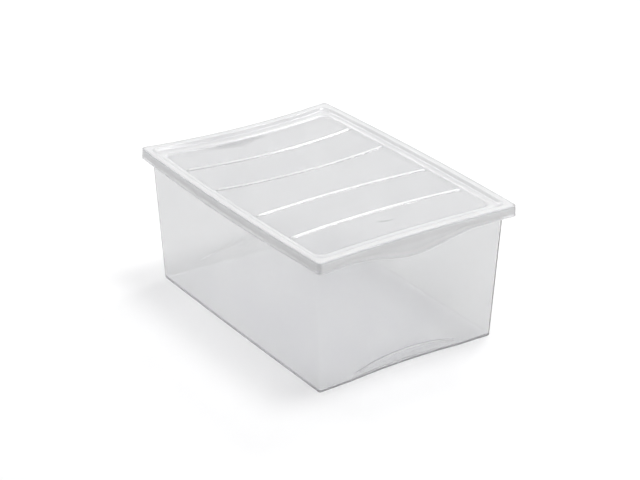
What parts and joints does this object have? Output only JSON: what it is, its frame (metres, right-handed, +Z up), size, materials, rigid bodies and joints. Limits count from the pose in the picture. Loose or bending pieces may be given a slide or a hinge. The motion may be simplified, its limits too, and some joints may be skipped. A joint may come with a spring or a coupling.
{
  "type": "under bed storage box",
  "caption": "Clear moulded storage box with tapered walls and a ribbed lid that drops over its flange and lifts straight off.",
  "frame": {"origin": "on the floor under the middle of the tub", "axes": "+Z up, +X along the length of the box towards one short end, +Y across its width"},
  "size_m": [0.4718, 0.3396, 0.2089],
  "materials": {
    "tub_plastic": "clear polypropylene, faintly grey, smooth moulded gloss with a slight haze",
    "lid_plastic": "clear polypropylene, milkier along the thick rim, smooth moulded gloss"
  },
  "bodies": {
    "tub": {"tub": "tub_plastic"},
    "lid": {"lid": "lid_plastic"}
  },
  "joints": [
    {"name": "lid_lift", "type": "slide", "parent": "tub", "child": "lid", "axis": [0, 0, 1], "range_m": [0, 0.12]}
  ]
}
